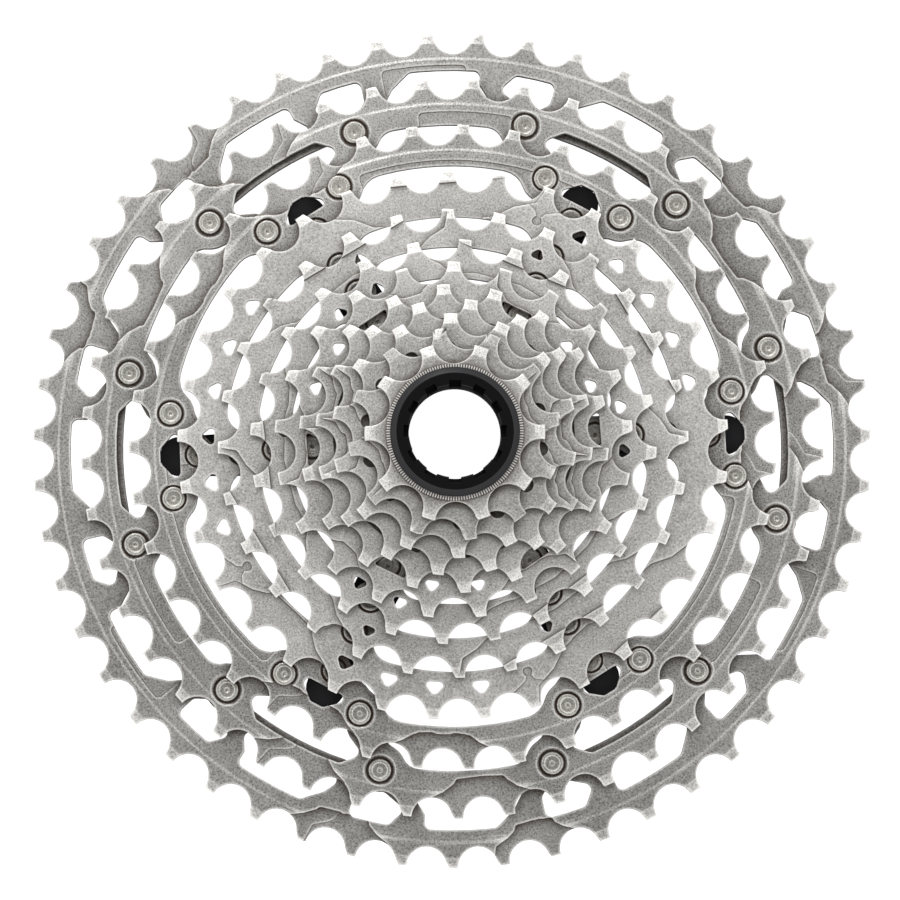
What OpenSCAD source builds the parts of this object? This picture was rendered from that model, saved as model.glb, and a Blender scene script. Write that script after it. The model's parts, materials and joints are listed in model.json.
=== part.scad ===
// Twelve-speed bicycle cassette: twelve toothed wheels on two spiders, with rivets, spacers and a lock ring.
// The frame: +Z runs along the bore from the largest wheel to the lock ring. The origin is on the bore's
// axis, in the plane of the back face. The spider arms point along 0, 60, 120 ... degrees.

/* [Chain drive] */
// Distance between neighbouring chain rollers
chain_pitch = 12.7; // [12.6:0.05:12.8]
// Diameter of the circle that a chain roller leaves between two teeth, measured at the root
roller_d = 7.75; // [7.6:0.05:7.9]
// Height of the tooth tips above the pitch circle
tooth_rise = 1.25; // [1.0:0.05:1.4]
// Radius of the round gap between two teeth
seat_r = 4.95; // [4.7:0.05:5.1]

/* [Stack] */
// Distance along the axis from one wheel to the next
wheel_step = 3.6; // [3.5:0.05:3.8]
// Thickness of the wheels from 33 teeth down
plate_t = 1.6; // [1.5:0.05:1.8]
// Thickness of the three largest wheels inside their ridge
body_t = 2.0; // [1.8:0.05:2.2]
// Thickness of the three largest wheels at their teeth
rim_t = 1.55; // [1.4:0.05:1.7]
// Depth of the shift ramps that are pressed into a wheel's front face
ramp_depth = 0.6; // [0.4:0.05:0.7]

/* [Hub bore] */
// Radius of the spiders' splined bore over its lands
bore_r = 17; // [16.8:0.1:17.1]
// Radius of the same bore in the loose wheels and their spacers
loose_bore_r = 17.2; // [17.2:0.1:17.4]
// Depth of the spline grooves
spline_depth = 1; // [0.6:0.1:1.2]
// Width of a spline groove
spline_w = 1.05; // [0.8:0.05:1.1]
// Number of spline grooves
spline_count = 23; // [20:1:24]

/* [Rivet circles] */
// Circle of the twelve rivets that join the two largest wheels
outer_rivet_r = 82.3; // [81.8:0.1:82.8]
// Circle of the twelve rivets that join the second and third wheels
inner_rivet_r = 70.3; // [69.9:0.1:70.6]
// Angle between a spider arm and its outer rivets
outer_rivet_a = 15; // [14.5:0.1:15.5]
// Angle between a spider arm and its inner rivets
inner_rivet_a = 8.6; // [8.4:0.1:8.8]
// Distance from the axis to the rivets that hold the wheel of 39 teeth on the arms
arm_rivet_39 = 63.1; // [62.9:0.1:63.3]
// Distance from the axis to the rivets that hold the wheel of 33 teeth on the arms
arm_rivet_33 = 52.2; // [52:0.1:52.5]
// Distance from the axis to the rivets that hold the wheel of 28 teeth on the arms
arm_rivet_28 = 43.8; // [43.6:0.1:44]
// Distance from the axis to the rivets that hold the wheel of 24 teeth on the arms
arm_rivet_24 = 34.6; // [34.4:0.1:34.7]
// Radius of a rivet's shank
shank_r = 1.95; // [1.6:0.05:2.1]

/* [Lock ring] */
// Radius of the clear hole through the lock ring
lock_bore_r = 11.1; // [10.8:0.1:11.3]
// Radius of the lock ring's threaded tube
lock_tube_r = 13.3; // [13.1:0.1:13.4]
// Radius of the lock ring's flange
lock_flange_r = 15.6; // [15.2:0.1:15.8]
// Number of notches for the lock ring tool
tool_notches = 12; // [10:1:12]
// Number of grooves round the serrated washer
washer_grooves = 160; // [120:10:160]

/* [Hidden] */
$fn = 96;
eps = 0.01;
arms = 6;

// Teeth of each wheel, from the largest, and the angle of its first tooth from a spider arm
TEETH = [51, 45, 39, 33, 28, 24, 21, 18, 16, 14, 12, 10];
TIMING = [-0.6, 4.4, 2.7, 1.5, -1, 9.3, 1.9, 11.6, 13, 12.3, 6, -1.8];

// Clear space left round each rivet shank
fit_gap = 0.02;
// A rivet's front head and the well it sits in, its thickness, its back head and its shoulder
head_r = 2.8;
well_r = 3.25;
head_t = 0.8;
tail_r = 3.05;
shoulder_r = 3.3;
// How deep the front heads are sunk into the three large wheels and into the others
sunk_large = 1;
sunk_small = 0.9;

// Tooth chamfers: how far they reach in from the tip, and how much of the tooth they take at the tip
front_chamfer = [2.5, 0.8];
back_chamfer = [1.7, 0.4];
// Where the ridge of the three largest wheels begins and ends, measured inwards from the root
ridge_foot = 0.5;
ridge_top = 2.1;

// Levels of the two spiders: top of the rear hub, base of the front hub, and back of the rear arms
rear_hub_top = 12.4;
front_hub_base = 12.6;
arm_back = 4.1;

// Depth of the notches for the lock ring tool, their width, and how far they cut outwards from the bore
notch_depth = 5;
notch_w = 2.9;
notch_reach = 1.3;
// Angle of the first notch from a spider arm
notch_start = -2.4;
// Radius of the serrated washer, and of the grooves in its rim
washer_r = 16.5;
groove_r = 0.2;
// Thickness of the lip that closes the front of the splines in the wheel of 12 teeth, and its hole
lip_t = 0.4;
lip_r = 14.5;

steel = [0.74, 0.73, 0.71];
black = [0.07, 0.07, 0.08];

function pitch_r(n) = chain_pitch / 2 / sin(180 / n);
function root_r(n) = pitch_r(n) - roller_d / 2;
function tip_r(n) = pitch_r(n) + tooth_rise;
function base_z(i) = i * wheel_step;
function polar(a, r) = [r * cos(a), r * sin(a)];
function polar_points(corners) = [for (c = corners) polar(c[0], c[1])];

// How far a tooth leans away from the drive side: most near the shift ramps, least between them
function lean(a) = 0.15 + 1.1 * (1 - cos(3 * (a - 76))) / 2;

// The soft step of the ridge, from the teeth's thickness to the body's
function ridge_profile(root, t_tooth, t_body) = [
    for (s = [0 : 0.2 : 1])
        [root - ridge_foot - s * (ridge_top - ridge_foot), t_tooth + (t_body - t_tooth) * s ^ 2 * (3 - 2 * s)]
];

// Levels of the serrated washer and of the lock ring's flange, and the length of the lock ring's tube
washer_base = base_z(11) + plate_t;
washer_t = 0.8;
flange_base = washer_base + washer_t;
flange_t = 2.4;
tube_len = 8;

// ---------------------------------------------------------------- flat shapes

module spread(count, start = 0, r = 0) {
    for (k = [0 : count - 1])
        rotate(start + k * 360 / count)
            translate([r, 0])
                children();
}

// Both rivets of every arm: at +a and -a from it
module beside_arms(a, r) {
    for (side = [-1, 1])
        spread(arms, side * a, r)
            children();
}

module ring_2d(outer, inner) {
    difference() {
        circle(r = outer, $fn = 120);
        circle(r = inner, $fn = 120);
    }
}

// Fills inside corners with a fillet of radius f
module fillet_2d(f) {
    offset(r = -f, $fn = 24)
        offset(r = f, $fn = 24)
            children();
}

// Rounds outside corners to radius f
module soften_2d(f) {
    offset(r = f, $fn = 16)
        offset(r = -f, $fn = 16)
            children();
}

module bar_2d(from, to, width) {
    run = to - from;
    translate(from)
        rotate(atan2(run[1], run[0]))
            translate([0, -width / 2])
                square([norm(run), width]);
}

// One gap between two teeth, on the +X axis. The flank towards +Y is cut back by back_off at the tip.
module gap_2d(n, back_off) {
    translate([root_r(n) + seat_r, 0])
        circle(r = seat_r);
    polygon([
        [root_r(n) + 1.1, 0], [root_r(n) + 1.1, 3.1],
        [tip_r(n) + 0.3, seat_r + back_off], [tip_r(n) + 0.3, 0]
    ]);
}

module toothed_disc_2d(i) {
    n = TEETH[i];
    difference() {
        circle(r = tip_r(n), $fn = 180);
        for (k = [0 : n - 1]) {
            a = TIMING[i] + (k + 0.5) * 360 / n;
            rotate(a)
                gap_2d(n, min(lean(a + 4), 0.12 * pitch_r(n) - 0.9));
        }
    }
}

// A shift ramp's outline: an S-shaped edge at each end, from the tooth root down to radius r_in
module ramp_2d(n, a_start, a_end, r_in) {
    root = root_r(n);
    depth = root - r_in;
    lead = depth / root * 57.3;
    soften_2d(1)
        fillet_2d(1.4)
            polygon(polar_points(concat(
                [
                    [a_start - 0.3 * lead, tip_r(n) + 4], [a_start, root + 0.4],
                    [a_start + 0.7 * lead, root - 0.3 * depth], [a_start + 1.3 * lead, r_in + 0.25 * depth],
                    [a_start + 2.6 * lead, r_in]
                ],
                [for (s = [0.25, 0.5, 0.75]) [a_start + s * (a_end - a_start), r_in + 0.1 * depth]],
                [
                    [a_end - 2.4 * lead, r_in], [a_end - 1.3 * lead, r_in + 0.2 * depth],
                    [a_end - 0.7 * lead, root - 0.3 * depth], [a_end, root + 0.4],
                    [a_end + 0.3 * lead, tip_r(n) + 4]
                ]
            )));
}

// ---------------------------------------------------------------- wheel building

// The turned blank of a wheel, with the tooth chamfers and the ridge inside the teeth
module blank(n, t_tooth, t_body) {
    tip = tip_r(n);
    root = root_r(n);
    ridge = t_body > t_tooth ? ridge_profile(root, t_tooth, t_body) : [];
    rotate_extrude($fn = 180)
        polygon(concat(
            [
                [8, 0], [tip - back_chamfer[0], 0], [tip + 0.1, back_chamfer[1]],
                [tip + 0.1, t_tooth - front_chamfer[1]], [tip - front_chamfer[0], t_tooth]
            ],
            ridge,
            [[8, t_body]]
        ));
}

// The pressed ramps. Each zone is: how many round the wheel, first angle, last angle, extra depth,
// inner radius.
module ramps(i, t, zones) {
    n = TEETH[i];
    for (zone = zones)
        spread(zone[0])
            translate([0, 0, t - ramp_depth - zone[3]])
                linear_extrude(4)
                    ramp_2d(n, zone[1], zone[2], zone[4]);
}

// A wheel at its place in the stack. The first child is its flat outline inside the teeth.
module wheel(i, t_tooth, t_body, zones) {
    n = TEETH[i];
    translate([0, 0, base_z(i)])
        difference() {
            intersection() {
                blank(n, t_tooth, t_body);
                linear_extrude(t_body + 1)
                    intersection() {
                        toothed_disc_2d(i);
                        children(0);
                    }
            }
            ramps(i, t_tooth, zones);
        }
}

// A rivet's hole through a wheel from z0 up to its face, with a well for the front head and a bevelled rim
module head_hole(z0, face, sunk, rim_r) {
    rim_depth = rim_r - well_r;
    translate([0, 0, z0 - 1])
        cylinder(r = shank_r + fit_gap, h = face - z0 + 2);
    translate([0, 0, face - sunk])
        cylinder(r = well_r, h = sunk);
    translate([0, 0, face - rim_depth])
        cylinder(r1 = well_r, r2 = rim_r + 0.5, h = rim_depth + 0.5);
}

// A rivet's hole from below, with a counterbore for its tail up to z1
module tail_hole(z0, z1) {
    translate([0, 0, z0 - 2])
        cylinder(r = tail_r + 0.1, h = z1 - z0 + 2);
    translate([0, 0, z1 - 1])
        cylinder(r = shank_r + fit_gap, h = 8);
}

// A shouldered rivet: tail from z0, shoulder from z1 to z2, head on z3, with a dished and dimpled face
module rivet(z0, z1, z2, z3, collar_r = shoulder_r) {
    top = z3 + head_t;
    rotate_extrude($fn = 64)
        polygon([
            [0, z0], [tail_r - 0.3, z0], [tail_r, z0 + 0.3], [tail_r, z0 + head_t], [shank_r, z0 + head_t],
            [shank_r, z1], [collar_r, z1], [collar_r, z2], [shank_r, z2], [shank_r, z3],
            [head_r, z3], [head_r, top - 0.15], [head_r - 0.15, top], [head_r - 0.75, top],
            [head_r - 1.1, top - 0.2], [0.75, top - 0.12], [0.55, top - 0.16],
            [0.2, top - 0.5], [0, top - 0.5]
        ]);
}

// A rivet with no shoulder, for a wheel that lies against its arm: tail from z0, head on z3
module plain_rivet(z0, z3) {
    rivet(z0, z0 + head_t + 1, z0 + head_t + 1, z3, shank_r);
}

// The splined bore from z0 to z1, with radius r over its lands
module spline_bore(z0, z1, r = bore_r) {
    translate([0, 0, z0 - 1])
        cylinder(r = r, h = z1 - z0 + 2, $fn = 120);
    spread(spline_count)
        translate([r - 0.5, -spline_w / 2, z0 - 1])
            cube([bore_r + spline_depth - r + 0.5, spline_w, z1 - z0 + 2]);
}

// ---------------------------------------------------------------- the three riveted outer wheels

// Two legs that spread from each outer rivet to the rim of the largest wheel
module leg_pair_2d() {
    polygon(polar_points([
        [3.5, 96], [11.8, 96], [11.9, 89.6], [13.4, 87.4], [15, 81], [9.6, 86.4], [7.2, 91.3]
    ]));
    polygon(polar_points([
        [17.5, 96], [23.5, 96], [23.4, 91.5], [18.6, 82.5], [15, 81], [16.6, 87.4], [20.2, 90.8]
    ]));
}

module outline_51_2d() {
    n = TEETH[0];
    fillet_2d(1.6)
        union() {
            ring_2d(tip_r(n) + 2, 95);
            spread(12, 0)
                leg_pair_2d();
            beside_arms(outer_rivet_a, outer_rivet_r)
                circle(r = 5.3);
            spread(arms)
                intersection() {
                    ring_2d(86.4, 82);
                    polygon([[0, 0], polar(-15, 110), polar(15, 110)]);
                }
        }
}

module sprocket_51t() {
    i = 0;
    zones = [[3, 3.7, 18.4, 0, 94.6], [3, 7.4, 18, 0.3, 94.6], [3, 33.8, 45.8, 0.1, 94.6]];
    color(steel)
        difference() {
            wheel(i, rim_t, body_t, zones)
                outline_51_2d();
            beside_arms(outer_rivet_a, outer_rivet_r)
                tail_hole(0, head_t + 0.05);
            window_shelf(i, [85.6, 98.4], 96.3);
        }
}

// A shallow shelf along the edge of the windows, between two angles, repeated with the ramps
module window_shelf(i, span, r_out) {
    translate([0, 0, base_z(i) + body_t - 0.3])
        linear_extrude(2)
            spread(3)
                soften_2d(1.2)
                    intersection() {
                        ring_2d(r_out, r_out - 7);
                        polygon([[0, 0], polar(span[0], 120), polar(span[1], 120)]);
                    }
}

module outline_45_2d() {
    n = TEETH[1];
    difference() {
        fillet_2d(4.5)
            union() {
                ring_2d(tip_r(n) + 2, 80.5);
                beside_arms(outer_rivet_a, outer_rivet_r)
                    circle(r = 6.6);
                for (side = [-1, 1])
                    spread(arms)
                        bar_2d(polar(side * 14.2, 81), polar(side * 9.2, inner_rivet_r - 0.5), 7.2);
                beside_arms(inner_rivet_a, inner_rivet_r)
                    circle(r = 4.7);
            }
        spread(arms)
            soften_2d(1.6)
                polygon(polar_points([
                    [-8, 83.4], [-4, 83.4], [0, 83.4], [4, 83.4], [8, 83.4], [11.4, 79.6],
                    [8.2, 76.5], [5, 72], [-5, 72], [-8.2, 76.5], [-11.4, 79.6]
                ]));
    }
}

module sprocket_45t() {
    i = 1;
    z = base_z(i);
    zones = [[3, -6.6, 10, 0, 82], [3, 23.8, 40.8, 0.1, 82], [3, -3.4, 9.6, 0.3, 82]];
    color(steel)
        difference() {
            wheel(i, rim_t, body_t, zones)
                outline_45_2d();
            beside_arms(outer_rivet_a, outer_rivet_r)
                head_hole(z, z + body_t, sunk_large, 3.9);
            beside_arms(inner_rivet_a, inner_rivet_r)
                tail_hole(z, z + head_t + 0.05);
            window_shelf(i, [77.4, 93.6], 83.9);
        }
}

module outline_39_2d() {
    n = TEETH[2];
    difference() {
        fillet_2d(6)
            union() {
                ring_2d(tip_r(n) + 2, 69.7);
                beside_arms(inner_rivet_a, inner_rivet_r)
                    circle(r = 5.9);
                spread(arms)
                    polygon(polar_points([
                        [-12, 71], [-11.6, 67], [-8, 63.4], [-4, 62], [4, 62], [8, 63.4], [11.6, 67], [12, 71]
                    ]));
                spread(arms, 0, arm_rivet_39)
                    circle(r = 4.5);
            }
        spread(arms)
            soften_2d(1.2)
                polygon(polar_points([
                    [-1.4, 72.4], [1.4, 72.4], [4.4, 69.4], [4.5, 67.7], [-4.5, 67.7], [-4.4, 69.4]
                ]));
    }
}

module sprocket_39t() {
    i = 2;
    z = base_z(i);
    zones = [[3, -11.6, 9, 0, 71.2], [3, 16, 34.8, 0.1, 71.2], [3, -7, 8.6, 0.3, 71.2]];
    color(steel)
        difference() {
            wheel(i, rim_t, body_t, zones)
                outline_39_2d();
            beside_arms(inner_rivet_a, inner_rivet_r)
                head_hole(z, z + body_t, sunk_large, 3.7);
            spread(arms, 0, arm_rivet_39)
                head_hole(z, z + body_t, sunk_large, 3.4);
            window_shelf(i, [62, 107], 71.1);
        }
}

// ---------------------------------------------------------------- wheels on the spider arms

// A ring with a tab on each arm, for a wheel that is riveted to a spider
module tabbed_ring_2d(n, inner, rivet_circle, tab_r, fillet) {
    fillet_2d(fillet)
        union() {
            ring_2d(tip_r(n) + 2, inner);
            spread(arms, 0, rivet_circle)
                circle(r = tab_r);
            spread(arms)
                translate([rivet_circle, -tab_r])
                    square([inner - rivet_circle + 1, 2 * tab_r]);
        }
}

// Round-cornered triangular hole with its point towards +X
module eye_2d(width, height) {
    soften_2d(height / 3.4)
        polygon([
            [-height / 2, -0.34 * width], [-0.2 * height, -width / 2], [height / 2, -0.12 * width],
            [height / 2, 0.12 * width], [-0.2 * height, width / 2], [-height / 2, 0.34 * width]
        ]);
}

module sprocket_33t() {
    i = 3;
    n = TEETH[i];
    z = base_z(i);
    // Each deep ramp begins with a shallower one
    shallow = [[1, 62.5, 71.5, -0.25, 57.8], [1, 204, 213, -0.25, 57.8], [1, 281, 290, -0.25, 57.8]];
    deep = [[1, 68.7, 116.3, 0, 55.5], [1, 210, 238, 0, 56.8], [1, 287, 335, 0, 55.5]];
    color(steel)
        difference() {
            wheel(i, plate_t, plate_t, concat(shallow, deep))
                difference() {
                    tabbed_ring_2d(n, 56.35, arm_rivet_33, 5, 5);
                    // Holes under the teeth, away from the ramps
                    for (k = [1, 2, 3, 4, 5, 13, 14, 15, 16, 17, 18, 22, 23, 24, 25])
                        rotate(TIMING[i] + k * 360 / n)
                            translate([60.4, 0])
                                eye_2d(4.6, 3);
                }
            spread(arms, 0, arm_rivet_33)
                head_hole(z, z + plate_t, sunk_small, 3.5);
        }
}

module sprocket_28t() {
    i = 4;
    n = TEETH[i];
    z = base_z(i);
    color(steel)
        difference() {
            wheel(i, plate_t, plate_t, [[4, 0, 57.7, 0, 47.5]])
                difference() {
                    tabbed_ring_2d(n, 48.3, arm_rivet_28, 4.5, 5);
                    for (a = [63.5, 114.5])
                        spread(2, a, 51)
                            eye_2d(3.4, 2.4);
                }
            spread(arms, 0, arm_rivet_28)
                head_hole(z, z + plate_t, sunk_small, 3.5);
        }
}

module sprocket_24t() {
    i = 5;
    n = TEETH[i];
    z = base_z(i);
    color(steel)
        difference() {
            wheel(i, plate_t, plate_t, [[3, 34, 95, 0, 41.4]])
                difference() {
                    tabbed_ring_2d(n, 40.1, arm_rivet_24, 4.6, 4);
                    for (a = [-5.7, 9.3, 54.3])
                        spread(3, a, 42)
                            eye_2d(3.7, 2.7);
                }
            spread(arms, 0, arm_rivet_24)
                head_hole(z, z + plate_t, sunk_small, 3.5);
        }
}

// ---------------------------------------------------------------- loose wheels on the splines

module sprocket_21t() {
    i = 6;
    n = TEETH[i];
    color(steel)
        difference() {
            wheel(i, plate_t, plate_t, [[3, 44, 72, 0, 36], [3, 96, 112, 0, 36.6]])
                difference() {
                    circle(r = tip_r(n) + 2);
                    // Slots that show the rivets behind
                    spread(arms, 1.8)
                        soften_2d(0.5)
                            polygon([[31.4, -2], [35.9, -4.3], [35.9, 4.3], [31.4, 2]]);
                    for (a = [19.2, 37.2])
                        spread(3, a, 36.2)
                            eye_2d(3.7, 2.6);
                }
            spline_bore(base_z(i), base_z(i) + plate_t, loose_bore_r);
        }
}

// An arc-shaped slot between two radii, from angle a0 to angle a1
module arc_slot_2d(outer, inner, a0, a1) {
    soften_2d(0.6)
        intersection() {
            ring_2d(outer, inner);
            polygon([[0, 0], polar(a0, 2 * outer), polar(a1, 2 * outer)]);
        }
}

module sprocket_18t() {
    i = 7;
    n = TEETH[i];
    slots = [[-6, 9], [41, 51.5], [62, 71], [90, 96], [108, 119], [152, 167]];
    color(steel)
        difference() {
            wheel(i, plate_t, plate_t, [[2, -29, -6.5, 0, 30.2]])
                difference() {
                    circle(r = tip_r(n) + 2);
                    for (slot = slots)
                        spread(2)
                            arc_slot_2d(29.4, 27.2, slot[0], slot[1]);
                }
            spline_bore(base_z(i), base_z(i) + plate_t, loose_bore_r);
        }
}

module sprocket_16t() {
    i = 8;
    n = TEETH[i];
    color(steel)
        difference() {
            wheel(i, plate_t, plate_t, [[2, -9.5, 13, 0, 26], [2, -32, -11, 0, 26.4]])
                circle(r = tip_r(n) + 2);
            spline_bore(base_z(i), base_z(i) + plate_t, loose_bore_r);
        }
}

module sprocket_14t() {
    i = 9;
    n = TEETH[i];
    color(steel)
        difference() {
            wheel(i, plate_t, plate_t, [[2, -18, 16, 0, 21.9]])
                difference() {
                    circle(r = tip_r(n) + 2);
                    spread(n, TIMING[i] + 2, 21.1)
                        circle(r = 1.8);
                }
            spline_bore(base_z(i), base_z(i) + plate_t, loose_bore_r);
        }
}

module sprocket_12t() {
    i = 10;
    n = TEETH[i];
    color(steel)
        difference() {
            wheel(i, plate_t, plate_t, [[2, 1, 34, 0, 18.6]])
                circle(r = tip_r(n) + 2);
            spline_bore(base_z(i), base_z(i) + plate_t - lip_t - 1, loose_bore_r);
            translate([0, 0, base_z(i)])
                cylinder(r = lip_r, h = plate_t + 1);
        }
}

// The smallest wheel has a collar at its back that spaces it from the next wheel
module sprocket_10t() {
    i = 11;
    n = TEETH[i];
    z = base_z(i);
    collar = z - base_z(i - 1) - plate_t;
    color(steel)
        difference() {
            union() {
                wheel(i, plate_t, plate_t, [])
                    circle(r = tip_r(n) + 2);
                translate([0, 0, z - collar])
                    cylinder(r = 15.8, h = collar + eps);
            }
            translate([0, 0, z - collar - 1])
                cylinder(r = lock_tube_r + 0.4, h = 10);
        }
}

// ---------------------------------------------------------------- spiders

// One tapered arm on the +X axis, from the hub to a round end at radius r_end
module arm_2d(r_end, w_hub, w_end) {
    centre = r_end - w_end / 2;
    polygon([[16, -w_hub / 2], [centre, -w_end / 2], [centre, w_end / 2], [16, w_hub / 2]]);
    translate([centre, 0])
        circle(r = w_end / 2);
}

module rear_spider() {
    seat_39 = base_z(2);
    seat_33 = base_z(3);
    color(black)
        difference() {
            union() {
                cylinder(r = 22.5, h = rear_hub_top);
                translate([0, 0, arm_back])
                    linear_extrude(seat_39 - arm_back)
                        fillet_2d(4)
                            union() {
                                circle(r = 22.4);
                                spread(arms)
                                    arm_2d(72.6, 13, 9.6);
                            }
                translate([0, 0, seat_39 - eps])
                    linear_extrude(seat_33 - seat_39 + eps)
                        fillet_2d(3)
                            union() {
                                circle(r = 22.4);
                                spread(arms)
                                    arm_2d(57, 10, 8.6);
                            }
            }
            spline_bore(0, rear_hub_top);
            for (r = [arm_rivet_39, arm_rivet_33])
                spread(arms, 0, r)
                    tail_hole(arm_back, arm_back + head_t + 0.05);
        }
}

module front_spider() {
    seat_28 = base_z(4);
    seat_24 = base_z(5);
    seat_21 = base_z(6);
    color(black)
        difference() {
            union() {
                translate([0, 0, front_hub_base])
                    cylinder(r = 21, h = seat_21 - front_hub_base);
                translate([0, 0, front_hub_base])
                    linear_extrude(seat_28 - front_hub_base)
                        fillet_2d(3)
                            union() {
                                circle(r = 20.9);
                                spread(arms)
                                    arm_2d(49.4, 11, 8.6);
                            }
                translate([0, 0, seat_28 - eps])
                    linear_extrude(seat_24 - seat_28 + eps)
                        fillet_2d(3)
                            union() {
                                circle(r = 20.9);
                                spread(arms)
                                    arm_2d(38.8, 10, 8.4);
                            }
            }
            spline_bore(front_hub_base, seat_21);
            spread(arms, 0, arm_rivet_28)
                tail_hole(front_hub_base, front_hub_base + head_t + 0.05);
            spread(arms, 0, arm_rivet_24)
                tail_hole(front_hub_base, front_hub_base + head_t + 0.05);
        }
}

// ---------------------------------------------------------------- rivets, spacers and lock ring

module outer_rivets() {
    color(steel)
        beside_arms(outer_rivet_a, outer_rivet_r)
            rivet(0.05, body_t, base_z(1), base_z(1) + body_t - sunk_large);
}

module inner_rivets() {
    color(steel)
        beside_arms(inner_rivet_a, inner_rivet_r)
            rivet(base_z(1) + 0.05, base_z(1) + body_t, base_z(2), base_z(2) + body_t - sunk_large);
}

module arm_rivets_39t() {
    color(steel)
        spread(arms, 0, arm_rivet_39)
            plain_rivet(arm_back + 0.05, base_z(2) + body_t - sunk_large);
}

module arm_rivets_33t() {
    color(steel)
        spread(arms, 0, arm_rivet_33)
            plain_rivet(arm_back + 0.05, base_z(3) + plate_t - sunk_small);
}

module arm_rivets_28t() {
    color(steel)
        spread(arms, 0, arm_rivet_28)
            plain_rivet(front_hub_base + 0.05, base_z(4) + plate_t - sunk_small);
}

module arm_rivets_24t() {
    color(steel)
        spread(arms, 0, arm_rivet_24)
            plain_rivet(front_hub_base + 0.05, base_z(5) + plate_t - sunk_small);
}

// A ring that keeps two neighbours apart, with their splines; r is its bore over the lands
module spacer(z0, z1, outer, r) {
    difference() {
        translate([0, 0, z0])
            cylinder(r = outer, h = z1 - z0, $fn = 120);
        spline_bore(z0, z1, r);
    }
}

module spider_spacer() {
    color(steel)
        spacer(rear_hub_top, front_hub_base, 20, bore_r);
}

module spacer_21_18() {
    color(steel)
        spacer(base_z(6) + plate_t, base_z(7), 20, loose_bore_r);
}

module spacer_18_16() {
    color(steel)
        spacer(base_z(7) + plate_t, base_z(8), 20, loose_bore_r);
}

module spacer_16_14() {
    color(steel)
        spacer(base_z(8) + plate_t, base_z(9), 20, loose_bore_r);
}

module spacer_14_12() {
    color(steel)
        spacer(base_z(9) + plate_t, base_z(10), 19.2, loose_bore_r);
}

module lock_washer() {
    color(steel)
        translate([0, 0, washer_base])
            difference() {
                cylinder(r = washer_r, h = washer_t);
                translate([0, 0, -1])
                    cylinder(r = lock_tube_r + 0.3, h = washer_t + 2);
                spread(washer_grooves, 0, washer_r)
                    translate([0, 0, -1])
                        cylinder(r = groove_r, h = washer_t + 2, $fn = 16);
            }
}

module lock_ring() {
    top = flange_base + flange_t;
    color(black)
        difference() {
            rotate_extrude($fn = 120)
                polygon([
                    [lock_bore_r, flange_base - tube_len], [lock_tube_r - 0.5, flange_base - tube_len],
                    [lock_tube_r, flange_base - tube_len + 0.5], [lock_tube_r, flange_base],
                    [lock_flange_r, flange_base], [lock_flange_r, top - 1.1],
                    [14.1, top], [lock_bore_r + 0.2, top], [lock_bore_r, top - 0.2]
                ]);
            spread(tool_notches, notch_start)
                translate([lock_bore_r - 1, -notch_w / 2, top - notch_depth])
                    cube([1 + notch_reach, notch_w, notch_depth + 1]);
        }
}

sprocket_51t();
sprocket_45t();
sprocket_39t();
sprocket_33t();
sprocket_28t();
sprocket_24t();
sprocket_21t();
sprocket_18t();
sprocket_16t();
sprocket_14t();
sprocket_12t();
sprocket_10t();
rear_spider();
front_spider();
outer_rivets();
inner_rivets();
arm_rivets_39t();
arm_rivets_33t();
arm_rivets_28t();
arm_rivets_24t();
spider_spacer();
spacer_21_18();
spacer_18_16();
spacer_16_14();
spacer_14_12();
lock_washer();
lock_ring();
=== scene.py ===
"""The looks of a twelve-speed bicycle cassette: steel wheels and rivets, black spiders and lock ring."""

import json
from math import cos, radians, sin

import bpy
from mathutils import Matrix, Vector


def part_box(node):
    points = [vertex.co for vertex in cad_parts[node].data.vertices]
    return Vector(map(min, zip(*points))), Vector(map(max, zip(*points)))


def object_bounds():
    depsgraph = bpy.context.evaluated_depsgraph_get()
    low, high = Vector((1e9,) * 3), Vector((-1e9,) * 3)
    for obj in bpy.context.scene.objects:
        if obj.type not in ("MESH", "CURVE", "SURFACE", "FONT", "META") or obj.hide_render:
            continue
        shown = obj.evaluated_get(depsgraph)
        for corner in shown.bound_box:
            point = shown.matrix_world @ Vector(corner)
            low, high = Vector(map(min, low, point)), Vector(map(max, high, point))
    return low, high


MM = 0.001

# The camera: its tilts away from the bore's axis, its turn about that axis, the place beside the axis
# that it looks at, its distance from there, and its focal length in millimetres
TILT_DOWN = radians(5.2)
TILT_SIDE = radians(0.8)
ROLL = radians(2.36)
AIM_X = -0.65 * MM
AIM_Y = -0.6 * MM
CAMERA_DISTANCE = 1.152
FOCAL_LENGTH = 185.0

# The finish: the painted brown shade in the recesses and between the wheels, the painted highlight along
# the edges, the fineness of the grains as speckles to the metre, and the serrated washer's number of
# grooves
PAINTED_SHADE = (0.075, 0.045, 0.027, 1.0)
EDGE_HIGHLIGHT_COLOUR = (1.0, 0.985, 0.95, 1.0)
STEEL_GRAIN = 2300.0
BLACK_GRAIN = 3200.0
WASHER_GROOVES = 160.0

# The meshes: how close two points are merged, how nearly flat two facets are joined, and how sharp an edge
# is bevelled, by this width or as much of it as the faces beside it leave room for
WELD_DISTANCE = 0.002 * MM
FLAT_ANGLE = radians(1.1)
SHARP_ANGLE = radians(28)
BEVEL_WIDTH = 0.2 * MM

# The studio: the floor's side, the backdrop's tone, and the brightness of the surroundings by the height
# of the direction, which is 0 at the horizon and below it, and 1 straight up
FLOOR_SIDE = 3.0
BACKDROP_TONE = 0.9
BRIGHTNESS = [(0.0, 0.1), (0.12, 0.35), (0.45, 1.3), (0.58, 2.3), (0.67, 1.9), (0.75, 0.45),
              (0.82, 0.3), (0.9, 0.25), (1.0, 0.29)]

# Where the Mix node has its colours, because numbers and vectors use the same names there
MIX_FACTOR = 0
MIX_FIRST_COLOUR = 6
MIX_SECOND_COLOUR = 7
MIX_COLOUR_RESULT = 2

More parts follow.
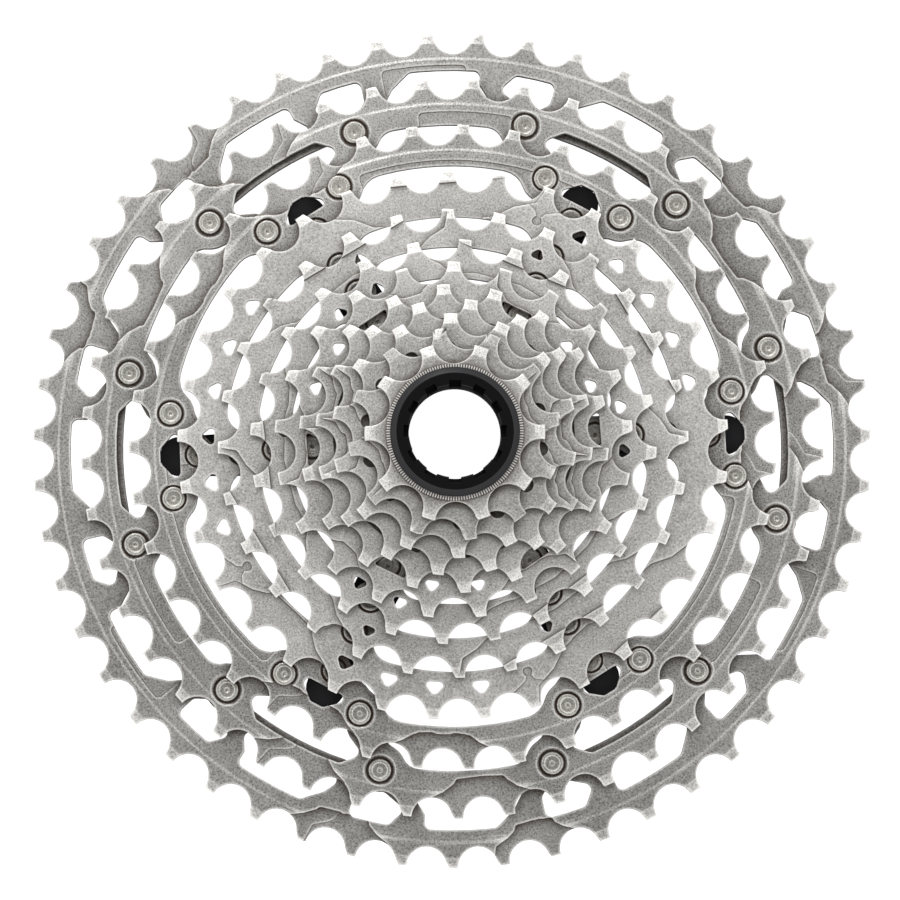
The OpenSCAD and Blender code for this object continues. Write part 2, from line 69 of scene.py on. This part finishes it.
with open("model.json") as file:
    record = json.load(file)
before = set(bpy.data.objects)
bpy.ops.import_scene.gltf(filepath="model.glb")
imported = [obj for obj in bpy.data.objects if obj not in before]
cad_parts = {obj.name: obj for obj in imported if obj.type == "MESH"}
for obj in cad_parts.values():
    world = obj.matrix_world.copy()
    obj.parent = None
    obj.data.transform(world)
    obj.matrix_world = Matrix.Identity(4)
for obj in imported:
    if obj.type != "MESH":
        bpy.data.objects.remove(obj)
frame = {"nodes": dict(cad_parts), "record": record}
cad_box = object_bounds()
nodes = frame["nodes"]
slots = {part["node"]: part["material_slot"] for part in frame["record"]["subparts"]}


# ---------------------------------------------------------------- node helpers

class Nodes:
    """Adds shader nodes to a material or world and links them."""

    def __init__(self, tree):
        self.tree = tree
        tree.nodes.clear()

    def add(self, kind, **settings):
        node = self.tree.nodes.new(kind)
        for name, value in settings.items():
            setattr(node, name, value)
        return node

    def link(self, source, target):
        self.tree.links.new(source, target)

    def feed(self, node, name, value):
        """Sets one input of a node to a value, or links it to another node's output."""
        if isinstance(value, bpy.types.NodeSocket):
            self.link(value, node.inputs[name])
        else:
            node.inputs[name].default_value = value

    def noise(self, where, scale, detail, rough):
        node = self.add("ShaderNodeTexNoise")
        self.feed(node, "Vector", where)
        self.feed(node, "Scale", scale)
        self.feed(node, "Detail", detail)
        self.feed(node, "Roughness", rough)
        return node.outputs["Fac"]

    def math(self, operation, a, b=0.0):
        node = self.add("ShaderNodeMath", operation=operation)
        self.feed(node, 0, a)
        self.feed(node, 1, b)
        return node.outputs[0]

    def blend(self, a, b, share):
        """A number made of the given share of a, with b for the rest."""
        return self.math("ADD", self.math("MULTIPLY", a, share), self.math("MULTIPLY", b, 1.0 - share))

    def span(self, value, low, high, to_low=0.0, to_high=1.0):
        """Moves a value from the span low..high to the span to_low..to_high, and stops it at the ends."""
        node = self.add("ShaderNodeMapRange", clamp=True)
        self.feed(node, "Value", value)
        self.feed(node, "From Min", low)
        self.feed(node, "From Max", high)
        self.feed(node, "To Min", to_low)
        self.feed(node, "To Max", to_high)
        return node.outputs["Result"]

    def mix(self, factor, a, b):
        node = self.add("ShaderNodeMix", data_type="RGBA")
        self.feed(node, MIX_FACTOR, factor)
        self.feed(node, MIX_FIRST_COLOUR, a)
        self.feed(node, MIX_SECOND_COLOUR, b)
        return node.outputs[MIX_COLOUR_RESULT]


def colour(red, green, blue):
    return (red, green, blue, 1.0)


def grey(tone):
    return colour(tone, tone, tone)


# ---------------------------------------------------------------- materials

def new_material(name):
    material = bpy.data.materials.new(name)
    material.use_nodes = True
    net = Nodes(material.node_tree)
    shader = net.add("ShaderNodeBsdfPrincipled")
    output = net.add("ShaderNodeOutputMaterial")
    net.link(shader.outputs["BSDF"], output.inputs["Surface"])
    where = net.add("ShaderNodeTexCoord").outputs["Object"]
    return material, net, shader, where


def rounded_normal(net, radius=0.3 * MM):
    """The normal of the surface as if its edges were rounded a little."""
    node = net.add("ShaderNodeBevel", samples=4)
    node.inputs["Radius"].default_value = radius
    return node.outputs["Normal"]


def add_bump(net, shader, normal, height, strength, depth):
    bump = net.add("ShaderNodeBump")
    net.link(normal, bump.inputs["Normal"])
    net.feed(bump, "Strength", strength)
    net.feed(bump, "Distance", depth)
    net.feed(bump, "Height", height)
    net.link(bump.outputs["Normal"], shader.inputs["Normal"])


def painted_edge_highlight(net):
    """1 along the piece's edges, where a highlight is painted on, and 0 on its faces."""
    face = net.add("ShaderNodeNewGeometry").outputs["Normal"]
    node = net.add("ShaderNodeVectorMath", operation="DOT_PRODUCT")
    net.link(rounded_normal(net, radius=1.0 * MM), node.inputs[0])
    net.link(face, node.inputs[1])
    return net.span(node.outputs["Value"], 0.99, 0.95)


def unshaded_share(net):
    """1 on an open face, and towards 0 deep in a recess, at the foot of a wall and between the wheels,
    where brown shade is painted.
    """
    node = net.add("ShaderNodeAmbientOcclusion", samples=6)
    net.feed(node, "Distance", 3.0 * MM)
    return net.span(node.outputs["AO"], 0.5, 0.98)


def steel(name, dark, light, rough, metallic=0.7):
    """Satin plated steel: a blasted grain, a painted highlight along the edges, and painted brownish shade
    in the recesses, at the foot of walls and between the wheels.
    """
    material, net, shader, where = new_material(name)
    speckle = net.noise(where, scale=STEEL_GRAIN, detail=3.0, rough=0.7)
    fine = net.noise(where, scale=STEEL_GRAIN * 2.3, detail=2.0, rough=0.6)
    cloud = net.noise(where, scale=38.0, detail=4.0, rough=0.6)
    grain = net.blend(speckle, fine, share=0.6)
    tone = net.blend(grain, cloud, share=0.78)
    metal = net.mix(net.span(tone, 0.4, 0.6), dark, light)
    # painted shade: the ambient occlusion gives 0 in recesses, at the foot of walls and between the wheels
    unshaded = unshaded_share(net)
    edge_highlight = net.math("MULTIPLY", painted_edge_highlight(net), unshaded)
    # painted highlight: the edges made pale, standing in for light caught on their rounding
    highlighted = net.mix(edge_highlight, metal, EDGE_HIGHLIGHT_COLOUR)
    # painted shade: brown where the surface is shaded, and the steel with its painted edge highlight
    # elsewhere
    net.feed(shader, "Base Color", net.mix(unshaded, PAINTED_SHADE, highlighted))
    # painted highlight: the edges made less metallic, so that they read pale from every side
    highlight_metallic = metallic - 0.4
    net.feed(shader, "Metallic", net.span(edge_highlight, 0.0, 1.0, metallic, highlight_metallic))
    net.feed(shader, "Roughness", net.span(grain, 0.35, 0.65, rough - 0.08, rough + 0.08))
    add_bump(net, shader, rounded_normal(net), grain, strength=0.6, depth=0.03 * MM)
    return material


def serrated_steel(name):
    """The washer under the lock ring: bright teeth around its rim, with painted shade in the grooves
    between.
    """
    material, net, shader, where = new_material(name)
    place = net.add("ShaderNodeSeparateXYZ")
    net.link(where, place.inputs[0])
    angle = net.math("ARCTAN2", place.outputs["Y"], place.outputs["X"])
    wave = net.math("COSINE", net.math("MULTIPLY", angle, WASHER_GROOVES))
    grain = net.noise(where, scale=STEEL_GRAIN, detail=3.0, rough=0.6)
    metal = net.mix(grain, colour(0.75, 0.74, 0.71), colour(0.98, 0.97, 0.94))
    # painted shade in the grooves between the washer's teeth, placed by the angle around the axis
    net.feed(shader, "Base Color", net.mix(net.span(wave, -0.2, 0.5), metal, PAINTED_SHADE))
    shader.inputs["Metallic"].default_value = 0.35
    net.feed(shader, "Roughness", net.span(grain, 0.35, 0.65, 0.3, 0.45))
    add_bump(net, shader, rounded_normal(net, radius=0.1 * MM), grain, strength=0.4, depth=0.02 * MM)
    return material


def anodised(name, dark, light, rough, highlighted):
    """Black anodised aluminium: a fine even grain, with a painted highlight on the bevels that slant
    upward.
    """
    material, net, shader, where = new_material(name)
    grain = net.noise(where, scale=BLACK_GRAIN, detail=2.0, rough=0.6)
    cloud = net.noise(where, scale=70.0, detail=3.0, rough=0.5)
    tone = net.blend(grain, cloud, share=0.7)
    black = net.mix(net.span(tone, 0.35, 0.65), dark, light)
    face = net.add("ShaderNodeSeparateXYZ")
    net.link(net.add("ShaderNodeNewGeometry").outputs["True Normal"], face.inputs[0])
    upward = face.outputs["Z"]
    # 1 on a face that slants upward, where a highlight is painted on, and 0 on a level one and on a wall
    highlight_slope = net.math("MULTIPLY", net.span(upward, 0.96, 0.9), net.span(upward, 0.3, 0.5))
    # painted highlight: the upward slanting bevels made paler
    net.feed(shader, "Base Color", net.mix(highlight_slope, black, highlighted))
    shader.inputs["Metallic"].default_value = 0.0
    shader.inputs["Specular IOR Level"].default_value = 0.15
    net.feed(shader, "Roughness", net.span(grain, 0.3, 0.7, rough - 0.05, rough + 0.07))
    add_bump(net, shader, rounded_normal(net), grain, strength=0.35, depth=0.02 * MM)
    return material


MATERIALS = {
    "large_wheel_steel": steel("large wheel steel", rough=0.3,
                               dark=colour(0.22, 0.215, 0.203), light=colour(0.68, 0.667, 0.64)),
    "small_wheel_steel": steel("small wheel steel", rough=0.34,
                               dark=colour(0.36, 0.35, 0.33), light=colour(0.96, 0.94, 0.905)),
    "rivet_steel": steel("rivet steel", rough=0.3, metallic=0.85,
                         dark=colour(0.26, 0.25, 0.22), light=colour(0.62, 0.60, 0.54)),
    "spacer_steel": steel("spacer steel", rough=0.42,
                          dark=colour(0.30, 0.30, 0.29), light=colour(0.60, 0.60, 0.58)),
    "washer_steel": serrated_steel("washer steel"),
    # For the black pieces, the third colour is a painted highlight on the bevels that slant upward
    "spider_black": anodised("spider black", rough=0.5, highlighted=colour(0.03, 0.03, 0.032),
                             dark=colour(0.008, 0.008, 0.009), light=colour(0.016, 0.016, 0.018)),
    "lock_ring_black": anodised("lock ring black", rough=0.42, highlighted=colour(0.035, 0.035, 0.037),
                                dark=grey(0.001), light=grey(0.002)),
}


def dress(node_name):
    """Gives a CAD node its material, joins its flat facets and bevels its sharp edges a little."""
    piece = nodes[node_name]
    material = MATERIALS[slots[node_name]]
    for place in piece.material_slots:
        place.material = material
    weld = piece.modifiers.new("weld", "WELD")
    weld.merge_threshold = WELD_DISTANCE
    flat = piece.modifiers.new("flat", "DECIMATE")
    flat.decimate_type = "DISSOLVE"
    flat.angle_limit = FLAT_ANGLE
    edges = piece.modifiers.new("edges", "BEVEL")
    edges.width = BEVEL_WIDTH
    edges.segments = 2
    edges.limit_method = "ANGLE"
    edges.angle_limit = SHARP_ANGLE


for name in nodes:
    dress(name)


# ---------------------------------------------------------------- studio

def make_floor(lowest):
    """A white floor that glows evenly. It is a backdrop only, so it doesn't light the pieces from below."""
    bpy.ops.mesh.primitive_plane_add(size=FLOOR_SIDE, location=(0, 0, lowest))
    floor = bpy.context.object
    floor.name = "floor"
    material, net, shader, where = new_material("floor")
    tone = net.noise(where, scale=4.0, detail=2.0, rough=0.5)
    net.feed(shader, "Base Color", net.mix(tone, grey(0.86), grey(0.9)))
    shader.inputs["Roughness"].default_value = 0.9
    shader.inputs["Emission Color"].default_value = grey(1.0)
    shader.inputs["Emission Strength"].default_value = 1.0
    floor.data.materials.append(material)
    floor.visible_diffuse = False
    floor.visible_glossy = False


def make_world():
    """Soft surroundings with a bright ring above the object, which the camera sees as a pale backdrop."""
    world = bpy.data.worlds.new("studio")
    bpy.context.scene.world = world
    world.use_nodes = True
    net = Nodes(world.node_tree)
    direction = net.add("ShaderNodeTexCoord").outputs["Generated"]
    split = net.add("ShaderNodeSeparateXYZ")
    net.link(direction, split.inputs[0])
    ramp = net.add("ShaderNodeValToRGB")
    net.link(split.outputs["Z"], ramp.inputs["Fac"])
    elements = ramp.color_ramp.elements
    while len(elements) < len(BRIGHTNESS):
        elements.new(0.5)
    for element, (place, tone) in zip(elements, BRIGHTNESS):
        element.position = place
        element.color = grey(tone)
    surroundings = net.add("ShaderNodeBackground")
    net.link(ramp.outputs["Color"], surroundings.inputs["Color"])
    backdrop = net.add("ShaderNodeBackground")
    backdrop.inputs["Color"].default_value = grey(BACKDROP_TONE)
    seen = net.add("ShaderNodeMixShader")
    net.link(net.add("ShaderNodeLightPath").outputs["Is Camera Ray"], seen.inputs[0])
    net.link(surroundings.outputs[0], seen.inputs[1])
    net.link(backdrop.outputs[0], seen.inputs[2])
    output = net.add("ShaderNodeOutputWorld")
    net.link(seen.outputs[0], output.inputs["Surface"])


def make_camera():
    """Looks down the bore, a little aslant, from far away with a long lens."""
    low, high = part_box("sprocket_51t")
    target = Vector((AIM_X, AIM_Y, (low.z + high.z) / 2))
    turn = Matrix.Rotation(-ROLL, 3, "Z")
    away = turn @ Vector((-sin(TILT_SIDE), -sin(TILT_DOWN), cos(TILT_DOWN))).normalized()
    image_up = turn @ Vector((0, 1, 0))
    right = image_up.cross(away).normalized()
    up = away.cross(right)
    axes = Matrix((right, up, away)).transposed().to_4x4()
    camera = bpy.data.objects.new("camera", bpy.data.cameras.new("camera"))
    bpy.context.scene.collection.objects.link(camera)
    camera.data.lens = FOCAL_LENGTH
    camera.data.clip_start = 0.05
    camera.data.clip_end = 20
    camera.matrix_world = Matrix.Translation(target + away * CAMERA_DISTANCE) @ axes
    bpy.context.scene.camera = camera


def make_light(name, offset, width, height, power):
    """A rectangular lamp at an offset from the object's middle, turned towards it."""
    low, high = cad_box
    middle = (low + high) / 2
    light = bpy.data.lights.new(name, "AREA")
    light.shape = "RECTANGLE"
    light.size = width
    light.size_y = height
    light.energy = power
    lamp = bpy.data.objects.new(name, light)
    lamp.location = middle + Vector(offset)
    lamp.rotation_euler = (middle - lamp.location).to_track_quat("-Z", "Y").to_euler()
    bpy.context.scene.collection.objects.link(lamp)


make_floor(cad_box[0].z)
make_world()
make_camera()
make_light("key", offset=(-0.4, 2.45, 0.95), width=0.6, height=0.35, power=22)
make_light("overhead", offset=(-0.1, 0.8, 2.35), width=0.6, height=0.3, power=2.6)
bpy.context.scene.view_settings.view_transform = "Standard"
